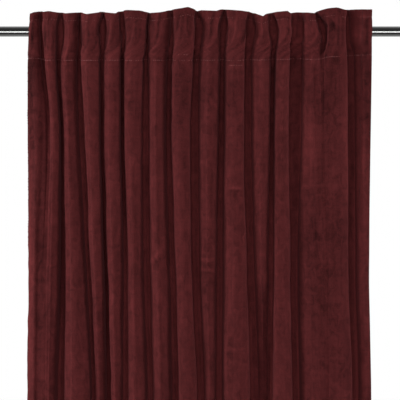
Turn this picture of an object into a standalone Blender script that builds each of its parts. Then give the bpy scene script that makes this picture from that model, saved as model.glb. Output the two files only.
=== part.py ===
"""A gathered velvet curtain that hangs from a slim steel rod on loops hidden behind its heading.

Sizes are in millimetres here and become metres where an object is made. +Z is up, X runs along the
rod, the front of the curtain faces -Y, and the origin is the middle of the rod's axis. The cloth is
one sheet. Its section at any height is worked out from the two tables below, one row for each valley
between two folds and one row for each fold, and the folds are as deep as the flat width makes them.
"""

import math
from collections import namedtuple

import bpy
import numpy as np

METRES = 0.001
CLEARANCE = 0.3

# Rod
ROD_DIAMETER = 20
ROD_LENGTH = 1000
ROD_SIDES = 32

# Cloth
FLAT_WIDTH = 1400
DROP = 2400
CLOTH_THICKNESS = 1.8
TOP_ABOVE_ROD = 33

# Heading tape, sewn along its two long edges, and the loops on it
TAPE_THICKNESS = 1
TAPE_TOP = 15  # below the top edge of the cloth
TAPE_BOTTOM = 89
LOOP_WIDTH = 10
LOOP_THICKNESS = 1.2
LOOP_FLANGE = 6
LOOP_ARC_STEPS = 8

# The heights at which the tables give their numbers, measured down from the top edge: the top edge,
# the rod, just below the rod, the lower edge of the tape, 0.23 m, 0.51 m and 0.76 m down, and the hem.
LEVELS = (0, TOP_ABOVE_ROD, 56, TAPE_BOTTOM, 230, 509, 758, DROP)
ROD_LEVEL = LEVELS.index(TOP_ABOVE_ROD)

# A valley: x of its middle, width of its slot, and its depth as a share of the folds' depth, each at
# every level; how softly its left and right walls round into the faces beside it; and how far its
# heading stands above (or hangs below) the general line.
Valley = namedtuple("Valley", "x slot depth soft lift")
VALLEYS = (
    Valley((-312, -313, -312, -309, -300, -305, -305, -305), (8, 8, 8, 7, 6, 6, 6, 16),
           (1, 1, 1, 0.8, 0.2, 0.05, 0.03, 0.4), (8, 8), -1),
    Valley((-273, -274, -275, -279, -274, -273, -276, -275), (5, 16, 14, 11, 9, 13, 15, 24),
           (1, 1, 1, 1, 1, 0.95, 0.65, 0.7), (8, 12), -4),
    Valley((-236, -237, -237, -238, -235, -224, -212, -214), (4, 6, 7, 9, 14, 11, 11, 20),
           (1, 1, 1, 1, 0.68, 0.6, 0.6, 0.7), (12, 14), -3),
    Valley((-190, -192, -192, -193, -193, -186, -181, -180), (3, 18, 11, 8, 8, 8, 10, 16),
           (1, 1, 1, 1, 1, 1, 0.85, 0.8), (10, 9), -2),
    Valley((-153, -152, -151, -153, -153, -148, -148, -144), (8, 11, 10, 8, 8, 12, 15, 18),
           (1, 1, 1, 1, 1, 0.6, 0.5, 0.6), (10, 7), 0),
    Valley((-101, -104, -104, -106, -107, -105, -98, -94), (3, 4, 5, 10, 14, 14, 12, 24),
           (1, 1, 1, 0.9, 0.65, 0.6, 0.55, 0.7), (9, 14), -3),
    Valley((-55, -55, -56, -59, -62, -54, -48, -45), (6, 7, 9, 11, 12, 12, 13, 22),
           (1, 1, 1, 1, 0.85, 0.6, 0.55, 0.7), (20, 7), 2),
    Valley((-6, -1, -4, -7, -11, -8, 2, 4), (6, 18, 16, 12, 17, 17, 16, 26),
           (1, 1, 1, 0.85, 0.65, 0.58, 0.55, 0.65), (5, 17), 1),
    Valley((48, 47, 45, 44, 42, 39, 36, 46), (3, 17, 13, 10, 12, 13, 12, 22),
           (1, 1, 1, 0.95, 0.82, 0.65, 0.6, 0.7), (10, 14), 3),
    Valley((99, 100, 98, 94, 94, 100, 108, 104), (12, 22, 17, 15, 16, 16, 16, 24),
           (1, 1, 1, 0.75, 0.6, 0.56, 0.52, 0.65), (5, 16), -4),
    Valley((142, 146, 147, 144, 142, 140, 138, 150), (9, 20, 13, 9, 9, 11, 9, 22),
           (1, 1, 1, 1, 0.95, 0.6, 0.5, 0.7), (13, 7), -4),
    Valley((191, 192, 190, 189, 187, 187, 191, 196), (22, 26, 26, 26, 25, 18, 17, 24),
           (1, 1, 1, 0.75, 0.56, 0.58, 0.56, 0.7), (8, 17), -2),
    Valley((230, 241, 245, 239, 240, 246, 248, 246), (4, 16, 9, 8, 6, 6, 6, 18),
           (1, 1, 0.8, 0.05, 0.04, 0.04, 0.04, 0.4), (7, 6), -2),
    Valley((292, 291, 291, 296, 298, 300, 309, 306), (8, 12, 12, 14, 15, 16, 16, 24),
           (1, 1, 1, 0.75, 0.6, 0.56, 0.5, 0.7), (8, 17), 2),
)

# A fold: how far its face stands in front of the general line at every level, and its heading's lift.
Fold = namedtuple("Fold", "forward lift")
FOLDS = (
    Fold((-7, -7, -7, -7, -5, -3, -3, -3), -2),
    Fold((1, 1, 1, 1, 1, 0, -1, 0), -1),
    Fold((0, 0, 0, 0, 0, 0, 1, 0), -4),
    Fold((2, 2, 2, 2, 1, 0, -6, -2), -6),
    Fold((0, 0, 0, 0, 0, 0, 0, 0), -4),
    Fold((2, 2, 2, 2, 1, 1, 2, 1), 2),
    Fold((0, 0, 0, 0, 1, 0, -1, 0), -2),
    Fold((3, 3, 3, 3, 1, 1, 2, 1), 7),
    Fold((0, 0, 0, 0, 0, -1, -4, -1), 1),
    Fold((2, 2, 2, 2, 1, 2, 3, 2), 1),
    Fold((-2, -2, -2, -2, -1, -5, -26, -4), -9),
    Fold((2, 2, 2, 2, 2, 2, 3, 2), 0),
    Fold((1, 1, 1, 1, 1, 0, 0, 0), -3),
    Fold((3, 3, 3, 3, 2, 1, 1, 1), 7),
    Fold((-10, -10, -10, -10, -10, -6, -6, -6), 4),
)

# The two upright edges of the cloth at every level, and how far the bottoms of the valleys lie behind
# the rod's axis: in front of it down the heading, then swinging back under it.
LEFT_EDGE = (-335, -336, -336, -338, -340, -338, -338, -338)
RIGHT_EDGE = (339, 339, 338, 337, 335, 331, 334, 336)
LIFT_AT_LEFT, LIFT_AT_RIGHT = -5, 4
VALLEY_BACK = (-12.5, -12.5, -12.5, -12.5, -4, 6, 10, 8)

# Rows of the cloth, measured down from the top edge. The rows of the tape are among them.
ROWS = (0, TAPE_TOP, 24, 33, 48, 66, TAPE_BOTTOM, 116, 164, 230, 344, 509, 758, 1060, 1400, 1760,
        2100, DROP)
LIFT_ENDS = 260  # below here the lift of the headings no longer shows

# Shape of a fold
FLOOR_ROUND = 0.8  # rounding at the bottom of a wall, as a share of half the slot
SHOULDER_DROP = 1.7  # height of a shoulder's rounding, as a share of its width
DEEPEST_SHOULDER = 0.7  # of the fold's depth
SHALLOW_SOFT = 6  # added to the width of a shoulder's rounding as its valley fades out
WIDEST_SHOULDER = 0.8  # of the way from the wall to the crest
CREST_AT_LEFT, CREST_AT_RIGHT = 0.34, 0.56  # how far across a fold its crest lies, at each side
BULGE = 0.09  # rise of a face's crest, as a share of the fold's width
LAST_BULGE = 0.03  # the same for the last fold, which hangs flatter
EDGE_WALL = 0.8  # how far the left edge turns back, as a share of the folds' depth
EDGE_SHOULDER = (5, 5, 5, 7, 15, 20, 22, 20)  # width of its rounding, at every level
EDGE_CURL = 1  # how far the right edge curls back

# The stretches of a half fold, from a valley's middle to the crest beside it, and the points that are
# taken on each: (stretch, share of it). The coarse ones make the solid and the fine ones measure it.
FLOOR, TURN, SHOULDER, FACE = range(4)
COARSE = ((FLOOR, 0), (TURN, 0.5), (SHOULDER, 0.12), (SHOULDER, 0.8))
FINE = ((FLOOR, 0), (TURN, 0), (TURN, 0.5), (TURN, 1), (SHOULDER, 0), (SHOULDER, 0.3),
        (SHOULDER, 0.6), (SHOULDER, 1), (FACE, 0.5))
DEPTH_GUESSES = (5, 90)
HALVINGS = 24

# Shading is sharp, and layers stop keeping their distance, at corners beyond these.
CLOTH_SMOOTH_UNDER = 60  # degrees
ROUND_SMOOTH_UNDER = 35
SHARPEST_COSINE = 0.75  # of half the turn


def at_depth(values, down):
    """A table row's value at a height: a smooth curve through the levels that never overshoots them."""
    x, y = np.array(LEVELS, float), np.array(values, float)
    secants = np.diff(y) / np.diff(x)
    slopes = np.zeros(len(x))
    same_way = secants[:-1] * secants[1:] > 0
    slopes[1:-1][same_way] = 2 / (1 / secants[:-1][same_way] + 1 / secants[1:][same_way])
    i = int(np.clip(np.searchsorted(x, down, side="right") - 1, 0, len(x) - 2))
    width = x[i + 1] - x[i]
    t = (down - x[i]) / width
    from_above = y[i] * (1 + 2 * t) * (1 - t) ** 2 + slopes[i] * width * t * (1 - t) ** 2
    from_below = y[i + 1] * t * t * (3 - 2 * t) + slopes[i + 1] * width * t * t * (t - 1)
    return float(from_above + from_below)


def half_fold(half_slot, reach, depth, soft, bulge, places):
    """Points from a valley's middle (0, 0) towards the middle of the face beside it, reach away."""
    drop = min(SHOULDER_DROP * soft, DEEPEST_SHOULDER * depth)
    turn = min(FLOOR_ROUND * half_slot, (depth - drop) / 2)
    points = []
    for stretch, share in places:
        angle = share * math.pi / 2
        if stretch == FLOOR:
            point = (share * (half_slot - turn), 0)
        elif stretch == TURN:
            point = (half_slot - turn * (1 - math.sin(angle)), turn * (1 - math.cos(angle)))
        elif stretch == SHOULDER:
            point = (half_slot + soft * (1 - math.cos(angle)), depth - drop * (1 - math.sin(angle)))
        else:
            start = half_slot + soft
            point = (start + share * (reach - start), depth + bulge * share * (2 - share))
        points.append(point)
    return points


def section(down, fold_depth, places):
    """The cloth's middle surface at one height: a list of (x, y, lift), left edge to right edge."""
    back = at_depth(VALLEY_BACK, down)
    left, right = at_depth(LEFT_EDGE, down), at_depth(RIGHT_EDGE, down)
    middles = [at_depth(valley.x, down) for valley in VALLEYS]
    half_slots = [(at_depth(valley.slot, down) + CLOTH_THICKNESS) / 2 for valley in VALLEYS]
    shares = [at_depth(valley.depth, down) for valley in VALLEYS]

    def from_valley(number, sign, soft, front, crest, bulge, lift):
        """The half fold on one side of a valley, from the valley to the crest."""
        floor = back - (1 - shares[number]) * fold_depth
        reach = abs(crest - middles[number])
        widest = WIDEST_SHOULDER * (reach - half_slots[number])
        soft = min(soft + SHALLOW_SOFT * (1 - shares[number]), widest)
        profile = half_fold(half_slots[number], reach, floor - front, soft, bulge, places)
        lifts = np.linspace(VALLEYS[number].lift, lift, len(profile) + 1)
        return [(middles[number] + sign * x, floor - y, rise) for (x, y), rise in zip(profile, lifts)]

    points = []
    for number, fold in enumerate(FOLDS):
        first, last = number == 0, number == len(FOLDS) - 1
        front = back - fold_depth - at_depth(fold.forward, down)
        starts = left if first else middles[number - 1] + half_slots[number - 1]
        ends = right if last else middles[number] - half_slots[number]
        across = ((starts + ends) / 2 - left) / (right - left)
        crest_share = 0.5 if first or last else CREST_AT_LEFT + across * (CREST_AT_RIGHT - CREST_AT_LEFT)
        crest = starts + crest_share * (ends - starts)
        bulge = (LAST_BULGE if last else BULGE) * (ends - starts)
        shape = (front, crest, bulge, fold.lift)
        if first:
            wall = EDGE_WALL * fold_depth
            soft = min(at_depth(EDGE_SHOULDER, down), WIDEST_SHOULDER * (crest - left))
            profile = half_fold(0, crest - left, wall, soft, bulge, places[1:])
            lifts = np.linspace(LIFT_AT_LEFT, fold.lift, len(profile) + 1)
            points += [(left + x, front + wall - y, rise) for (x, y), rise in zip(profile, lifts)]
        else:
            points += from_valley(number - 1, 1, VALLEYS[number - 1].soft[1], *shape)
        points.append((crest, front - bulge, fold.lift))
        if last:
            points.append(((crest + right) / 2, front - bulge / 2, LIFT_AT_RIGHT))
            points.append((right, front + EDGE_CURL, LIFT_AT_RIGHT))
        else:
            points += from_valley(number, -1, VALLEYS[number].soft[0], *shape)[:0:-1]
    return points


def length_of(points):
    steps = np.diff(np.array(points)[:, :2], axis=0)
    return float(np.linalg.norm(steps, axis=1).sum())


def depth_of_folds(down):
    """How deep the folds are at one height, so that the section takes up the cloth's flat width."""
    low, high = DEPTH_GUESSES
    for _ in range(HALVINGS):
        middle = (low + high) / 2
        if length_of(section(down, middle, FINE)) < FLAT_WIDTH:
            low = middle
        else:
            high = middle
    return low


def middle_surface():
    """The cloth's middle surface, as an array of rows by columns by (x, y, z)."""
    rows = []
    for down in ROWS:
        points = np.array(section(down, depth_of_folds(down), COARSE))
        fade = max(0.0, 1 - down / LIFT_ENDS)
        heights = TOP_ABOVE_ROD - down + points[:, 2] * fade * fade * (3 - 2 * fade)
        rows.append(np.column_stack([points[:, :2], heights]))
    return np.array(rows)


def normals_of(net):
    """Level normals that point to the back, longer at corners so that layers keep their distance."""
    along = np.diff(net[:, :, :2], axis=1)
    along /= np.linalg.norm(along, axis=2, keepdims=True)
    across = np.stack([-along[..., 1], along[..., 0]], axis=2)
    before = np.concatenate([across[:, :1], across], axis=1)
    after = np.concatenate([across, across[:, -1:]], axis=1)
    total = before + after
    total /= np.linalg.norm(total, axis=2, keepdims=True)
    normals = total / np.clip((total * after).sum(axis=2, keepdims=True), SHARPEST_COSINE, 1)
    return np.concatenate([normals, np.zeros(normals.shape[:2] + (1,))], axis=2)


def material(name, colour, roughness, metallic=0.0):
    made = bpy.data.materials.new(name)
    made.use_nodes = True
    shader = made.node_tree.nodes["Principled BSDF"]
    shader.inputs["Base Color"].default_value = (*colour, 1)
    shader.inputs["Roughness"].default_value = roughness
    shader.inputs["Metallic"].default_value = metallic
    return made


def add_object(name, points, faces, finish, smooth_under):
    """An object from points in millimetres, shaded smooth but for its sharper edges."""
    mesh = bpy.data.meshes.new(name)
    mesh.from_pydata([tuple(METRES * value for value in point) for point in points], [], faces)
    mesh.shade_smooth()
    mesh.set_sharp_from_angle(angle=math.radians(smooth_under))
    mesh.materials.append(finish)
    made = bpy.data.objects.new(name, mesh)
    bpy.context.collection.objects.link(made)
    return made


def sheet(name, net, normals, front, back, finish):
    """A closed slab between two distances behind the net. Its triangles split the net the same way on
    both sides, so that one layer stays parallel to the next."""
    rows, columns = net.shape[:2]
    layer = rows * columns
    points = np.concatenate([(net + normals * front).reshape(-1, 3), (net + normals * back).reshape(-1, 3)])

    def corner(row, column, side):
        return side * layer + row * columns + column

    faces = []
    for row in range(rows - 1):
        for column in range(columns - 1):
            here, below = (row, column), (row + 1, column)
            across, right = (row + 1, column + 1), (row, column + 1)
            for triangle in ((here, below, across), (here, across, right)):
                faces.append([corner(*place, 0) for place in triangle])
                faces.append([corner(*place, 1) for place in reversed(triangle)])
    rim = [(0, column) for column in range(columns)]
    rim += [(row, columns - 1) for row in range(1, rows)]
    rim += [(rows - 1, column) for column in range(columns - 2, -1, -1)]
    rim += [(row, 0) for row in range(rows - 2, 0, -1)]
    for here, after in zip(rim, rim[1:] + rim[:1]):
        faces.append([corner(*here, 0), corner(*after, 0), corner(*after, 1), corner(*here, 1)])
    return add_object(name, points, faces, finish, CLOTH_SMOOTH_UNDER)


def extrude_outline(name, outline, x, width, finish):
    """An outline of (y, z) points, anticlockwise seen from +X, made width wide about x."""
    count = len(outline)
    points = [(x - width / 2, y, z) for y, z in outline] + [(x + width / 2, y, z) for y, z in outline]
    faces = [list(range(count))[::-1], list(range(count, 2 * count))]
    for here in range(count):
        after = (here + 1) % count
        faces.append([here, after, count + after, count + here])
    return add_object(name, points, faces, finish, ROUND_SMOOTH_UNDER)


def loop_outline():
    """A strap round the back of the rod whose two ends turn outwards, flat against the tape."""
    inner = ROD_DIAMETER / 2 + CLEARANCE
    outer = inner + LOOP_THICKNESS
    seat = VALLEY_BACK[ROD_LEVEL] + CLOTH_THICKNESS / 2 + CLEARANCE + TAPE_THICKNESS + CLEARANCE
    flange_back = seat + LOOP_THICKNESS
    flange_end = outer + LOOP_FLANGE
    angles = [math.pi * (step / LOOP_ARC_STEPS - 0.5) for step in range(LOOP_ARC_STEPS + 1)]
    outer_arc = [(outer * math.cos(angle), outer * math.sin(angle)) for angle in angles]
    inner_arc = [(inner * math.cos(angle), inner * math.sin(angle)) for angle in reversed(angles)]
    lower = [(seat, -flange_end), (flange_back, -flange_end), (flange_back, -outer)]
    upper = [(flange_back, outer), (flange_back, flange_end), (seat, flange_end)]
    return lower + outer_arc + upper + [(seat, inner)] + inner_arc + [(seat, -inner)]


def rod(finish):
    outline = []
    for side in range(ROD_SIDES):
        angle = 2 * math.pi * side / ROD_SIDES
        outline.append((ROD_DIAMETER / 2 * math.cos(angle), ROD_DIAMETER / 2 * math.sin(angle)))
    return extrude_outline("rod", outline, 0, ROD_LENGTH, finish)


def build():
    for old in list(bpy.data.objects):
        bpy.data.objects.remove(old, do_unlink=True)
    velvet = material("burgundy velvet", (0.062, 0.013, 0.015), 0.9)
    tape_finish = material("natural heading tape", (0.55, 0.50, 0.42), 0.85)
    steel = material("polished steel", (0.55, 0.55, 0.56), 0.25, 1.0)

    net = middle_surface()
    normals = normals_of(net)
    half_cloth = CLOTH_THICKNESS / 2
    sheet("curtain_cloth", net, normals, -half_cloth, half_cloth, velvet)

    tape_rows = [number for number, down in enumerate(ROWS) if TAPE_TOP <= down <= TAPE_BOTTOM]
    taped = slice(tape_rows[0], tape_rows[-1] + 1)
    tape_front = half_cloth + CLEARANCE
    sheet("heading_tape", net[taped], normals[taped], tape_front, tape_front + TAPE_THICKNESS, tape_finish)

    outline = loop_outline()
    for number, valley in enumerate(VALLEYS, start=1):
        extrude_outline(f"hanging_loop_{number:02d}", outline, valley.x[ROD_LEVEL], LOOP_WIDTH, tape_finish)
    rod(steel)


build()
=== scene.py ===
"""The looks of the gathered velvet curtain on its steel rod.

The cloth is made again from the same tables as the solid, with many more points, its true top edge,
its puckers, creases and hems, and with the thread that sews it. Sizes are in millimetres and become
metres where an object is made. +Z is up, X runs along the rod and the front faces -Y.
"""

import math
from collections import namedtuple

import bpy
import numpy as np
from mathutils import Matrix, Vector


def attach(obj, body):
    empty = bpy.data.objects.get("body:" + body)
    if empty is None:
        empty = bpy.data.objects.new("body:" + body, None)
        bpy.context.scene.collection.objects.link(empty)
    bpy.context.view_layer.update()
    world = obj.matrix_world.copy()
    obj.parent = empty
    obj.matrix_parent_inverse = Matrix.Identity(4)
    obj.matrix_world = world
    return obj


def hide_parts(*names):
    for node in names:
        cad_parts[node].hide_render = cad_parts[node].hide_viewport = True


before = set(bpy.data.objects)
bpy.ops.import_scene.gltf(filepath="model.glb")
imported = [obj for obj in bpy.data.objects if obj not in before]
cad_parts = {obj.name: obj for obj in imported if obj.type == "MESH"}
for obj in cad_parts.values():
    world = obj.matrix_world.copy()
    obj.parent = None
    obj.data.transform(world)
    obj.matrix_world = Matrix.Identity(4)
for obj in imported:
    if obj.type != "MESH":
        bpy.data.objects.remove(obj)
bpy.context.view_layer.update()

METRES = 0.001

# The object's driving sizes
ROD_RADIUS = 10
ROD_HALF_LENGTH = 500
FLAT_WIDTH = 1400
DROP = 2400
CLOTH_THICKNESS = 1.8
TOP_ABOVE_ROD = 33
TAPE_TOP, TAPE_BOTTOM = 15, 89
TAPE_THICKNESS = 1
CLEARANCE = 0.3

# Heights at which the tables give their numbers, measured down from the top edge
LEVELS = (0, TOP_ABOVE_ROD, 56, TAPE_BOTTOM, 230, 509, 758, DROP)
ROD_LEVEL = LEVELS.index(TOP_ABOVE_ROD)

# A valley between two folds: x of its middle, width of its slot and its depth as a share of the folds'
# depth at every level, then how softly its left and right walls round into the faces beside it, in
# the heading and low down.
Valley = namedtuple("Valley", "x slot depth soft_high soft_low")
VALLEYS = (
    Valley((-312, -313, -312, -308, -296, -303, -305, -305), (8, 8, 8, 7, 6, 6, 6, 16),
           (1, 1, 1, 0.8, 0.2, 0.05, 0.03, 0.4), (4, 8), (12, 8)),
    Valley((-273, -274, -275, -279, -272, -271, -275, -275), (5, 16, 14, 9, 8, 12, 15, 24),
           (1, 1, 1, 1, 1, 0.95, 0.65, 0.7), (4, 7), (12, 18)),
    Valley((-236, -237, -237, -238, -233, -220, -209, -214), (4, 6, 7, 9, 13, 10, 10, 20),
           (1, 1, 1, 1, 0.68, 0.6, 0.6, 0.7), (12, 10), (8, 18)),
    Valley((-190, -192, -192, -193, -193, -186, -179, -180), (3, 18, 11, 8, 8, 8, 11, 16),
           (1, 1, 1, 1, 1, 0.92, 0.72, 0.8), (5, 9), (8, 9)),
    Valley((-153, -152, -151, -153, -153, -146.5, -146.5, -144), (8, 11, 9, 7, 8, 9.5, 12, 18),
           (1, 1, 1, 1, 1, 0.6, 0.42, 0.6), (4, 8), (9, 6)),
    Valley((-101, -104, -104, -106, -107, -105, -98, -94), (3, 4, 5, 10, 14, 14, 12, 24),
           (1, 1, 1, 0.9, 0.65, 0.6, 0.55, 0.7), (6, 9), (12, 18)),
    Valley((-55, -55, -56, -59, -62, -54, -48, -45), (6, 7, 9, 11, 12, 12, 13, 22),
           (1, 1, 1, 1, 0.85, 0.6, 0.55, 0.7), (14, 8), (28, 5)),
    Valley((-6, -1, -4, -7, -11, -8, 2, 4), (6, 18, 16, 12, 17, 17, 16, 26),
           (1, 1, 1, 0.85, 0.65, 0.58, 0.55, 0.65), (4, 12), (5, 22)),
    Valley((48, 47, 45, 44, 42, 39, 37.5, 46), (3, 17, 13, 10, 12, 13, 14, 22),
           (1, 1, 1, 0.95, 0.82, 0.65, 0.6, 0.7), (10, 10), (10, 18)),
    Valley((99, 100, 98, 94, 94, 100, 106.5, 104), (12, 22, 17, 15, 16, 16, 18, 24),
           (1, 1, 1, 0.75, 0.6, 0.56, 0.52, 0.65), (4, 10), (6, 22)),
    Valley((142, 146, 147, 144, 142, 140, 138, 150), (9, 20, 13, 9, 9, 11, 9, 22),
           (1, 1, 1, 1, 0.95, 0.6, 0.5, 0.7), (7, 8), (20, 5)),
    Valley((191, 192, 190, 189, 187, 185.5, 189.5, 196), (22, 26, 26, 26, 25, 15.5, 16, 24),
           (1, 1, 1, 0.88, 0.56, 0.58, 0.56, 0.7), (7, 14), (8, 20)),
    Valley((230, 241, 245, 239, 240, 246, 248, 246), (4, 16, 9, 8, 6, 6, 6, 18),
           (1, 1, 0.8, 0.04, 0.025, 0.03, 0.04, 0.4), (7, 6), (7, 6)),
    Valley((292, 291, 291, 296, 298, 300, 306, 306), (8, 12, 12, 14, 15, 16, 14, 24),
           (1, 1, 1, 0.75, 0.6, 0.56, 0.5, 0.7), (6, 18), (9, 16)),
)
SOFT_LOW_FROM, SOFT_LOW_TO = 200, 640  # between these heights soft_low takes over from soft_high

# How far the face of each fold stands in front of the general line, at every level
FORWARD = (
    (-7, -7, -7, -7, -5, -3, -3, -3),
    (1, 1, 1, 1, 1, 0, -1, 0),
    (0, 0, 0, 0, 0, 0, 1, 0),
    (2, 2, 2, 2, 1, 0, -6, -2),
    (0, 0, 0, 0, 0, 0, 0, 0),
    (2, 2, 2, 2, 1, 1, 2, 1),
    (0, 0, 0, 0, 1, 0, -1, 0),
    (3, 3, 3, 3, 1, 1, 2, 1),
    (0, 0, 0, 0, 0, -1, -4, -1),
    (2, 2, 2, 2, 1, 2, 3, 2),
    (-2, -2, -2, -2, -1, -5, -26, -4),
    (2, 2, 2, 2, 2, 2, 3, 2),
    (1, 1, 1, 1, 1, 0, 0, 0),
    (3, 3, 3, 3, 2, 1, 1, 1),
    (-10, -10, -10, -10, -10, -6, -6, -6),
)
LEFT_EDGE = (-335, -336, -336, -338, -340, -338, -338, -338)
RIGHT_EDGE = (339, 339, 338, 337, 335, 331, 334, 336)
VALLEY_BACK = (-12.5, -12.5, -12.5, -12.5, -4, 6, 10, 8)  # how far the valleys lie behind the rod's axis

# The top edge from left to right: x, and how far it stands above the general line
TOP_EDGE = (
    (-336, -5.5), (-327, -2.5), (-315, -0.5), (-307, -2), (-295, 0), (-280, -2.5), (-262, -4.5),
    (-236, -2.5), (-221, -6), (-193, -1.5), (-177, -3.5), (-166, -5), (-161, -1.5), (-142, 2),
    (-118, 1), (-98, -4), (-79, -2.5), (-59, 1.5), (-24, 8), (-16, 5.5), (-6, 0), (4, 1.5), (20, 1),
    (32, 0.5), (42, 3.5), (51, 3), (79, 1), (91, -0.5), (106, -4), (124, -10), (130, -5.5),
    (150, -2), (168, 0), (173, 0), (177, -4), (193, -2.5), (213, -3), (225, -4.5), (236, 1),
    (248, 5), (268, 7.5), (284, 2.5), (296, 2.5), (307, 3), (338, 3.5),
)
LIFT_STARTS_TO_FADE, LIFT_ENDS = 89, 414
LEAN = 0.15  # the heading's folds hang this share of their depth lower than the valleys between them

# How far the lower stitch line stands above the general line, from left to right, as for the top edge
STITCH_LINE = (
    (-336, -4), (-318, -5), (-300, -8), (90, -8), (180, -6), (236, -6), (252, -1), (285, 0), (338, 3),
)

# Shape of a fold
FLOOR_ROUND = 0.93  # rounding at the bottom of a wall, as a share of half the slot
SHOULDER_DROP = 1.7  # height of a shoulder's rounding, as a share of its width
DEEPEST_SHOULDER = 0.7  # of the fold's depth
SHALLOW_SOFT = 6  # added to the width of a shoulder's rounding as its valley fades out
WIDEST_SHOULDER = 0.8  # of the way from the wall to the crest
CREST_AT_LEFT, CREST_AT_RIGHT = 0.34, 0.56  # how far across a fold its crest lies, at each side
CREST_AT_EDGE = 0.5  # the same for the first and the last fold
BULGE = 0.09  # rise of a face's crest, as a share of the fold's width
LAST_BULGE = 0.03  # the same for the last fold, which hangs flatter
EDGE_WALL = 0.8  # how far the left edge turns back, as a share of the folds' depth
EDGE_SHOULDER = (5, 5, 5, 7, 15, 20, 22, 20)  # width of its rounding, at every level
EDGE_CURL = 1  # how far the right edge curls back

# The depth of the folds is found by halving the stretch between two guesses
DEPTH_GUESSES = (5, 90)
HALVINGS = 22

# The points on each stretch of a half fold, from a valley's middle to the crest beside it: the stretch,
# and the share of it. The left edge of the cloth has only a wall, and the last face no valley beside it.
FLOOR, TURN, WALL, SHOULDER, FACE = range(5)
PLACES = ((FLOOR, 0), (TURN, 0), (TURN, 0.5), (TURN, 1), (WALL, 0.5), (SHOULDER, 0), (SHOULDER, 0.35),
          (SHOULDER, 0.7), (SHOULDER, 1), (FACE, 0.25), (FACE, 0.5), (FACE, 0.75))
EDGE_PLACES = ((WALL, 0), (WALL, 0.35), (WALL, 0.7)) + PLACES[5:]
LAST_FACE_SHARES = (0.25, 0.5, 0.75)

# Rows of the cloth: (from, to, about how far apart), down from the top edge
ROW_STRETCHES = ((0, 93, 3), (93, 330, 9), (330, 355, 5), (355, 460, 9), (460, 510, 5),
                 (510, 790, 11), (790, 2300, 90), (2300, DROP, 25))

# Hems, where the edge is turned over to the back
SIDE_HEM = 20
BOTTOM_HEM = 80
HEM_EXTRA = 1.3  # added to the thickness
SIDE_HEM_STEP, BOTTOM_HEM_STEP = 4, 8  # how far the thickness takes to change


def at_depth(values, down):
    """A table row's value at a height: a smooth curve through the levels that never overshoots them."""
    x, y = np.array(LEVELS, float), np.array(values, float)
    secants = np.diff(y) / np.diff(x)
    slopes = np.zeros(len(x))
    same_way = secants[:-1] * secants[1:] > 0
    slopes[1:-1][same_way] = 2 / (1 / secants[:-1][same_way] + 1 / secants[1:][same_way])
    i = int(np.clip(np.searchsorted(x, down, side="right") - 1, 0, len(x) - 2))
    width = x[i + 1] - x[i]
    t = (down - x[i]) / width
    from_above = y[i] * (1 + 2 * t) * (1 - t) ** 2 + slopes[i] * width * t * (1 - t) ** 2
    from_below = y[i + 1] * t * t * (3 - 2 * t) + slopes[i + 1] * width * t * t * (t - 1)
    return float(from_above + from_below)


def smoothstep(value):
    value = np.clip(value, 0, 1)
    return value * value * (3 - 2 * value)


def waves(place, lengths, seed):
    """A smooth uneven curve between about -1 and 1: sine waves of these lengths with seeded phases."""
    phases = np.random.default_rng(seed).uniform(0, 2 * math.pi, len(lengths))
    total = sum(np.sin(2 * math.pi * place / length + phase) for length, phase in zip(lengths, phases))
    return total / math.sqrt(len(lengths))


def half_fold(half_slot, reach, depth, soft, bulge, places):
    """Points from a valley's middle (0, 0) towards the middle of the face beside it, reach away."""
    drop = min(SHOULDER_DROP * soft, DEEPEST_SHOULDER * depth)
    turn = min(FLOOR_ROUND * half_slot, (depth - drop) / 2)
    points = []
    for stretch, share in places:
        angle = share * math.pi / 2
        if stretch == FLOOR:
            point = (share * (half_slot - turn), 0)
        elif stretch == TURN:
            point = (half_slot - turn * (1 - math.sin(angle)), turn * (1 - math.cos(angle)))
        elif stretch == WALL:
            point = (half_slot, turn + share * (depth - drop - turn))
        elif stretch == SHOULDER:
            point = (half_slot + soft * (1 - math.cos(angle)), depth - drop * (1 - math.sin(angle)))
        else:
            start = half_slot + soft
            point = (start + share * (reach - start), depth + bulge * share * (2 - share))
        points.append(point)
    return points


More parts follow.
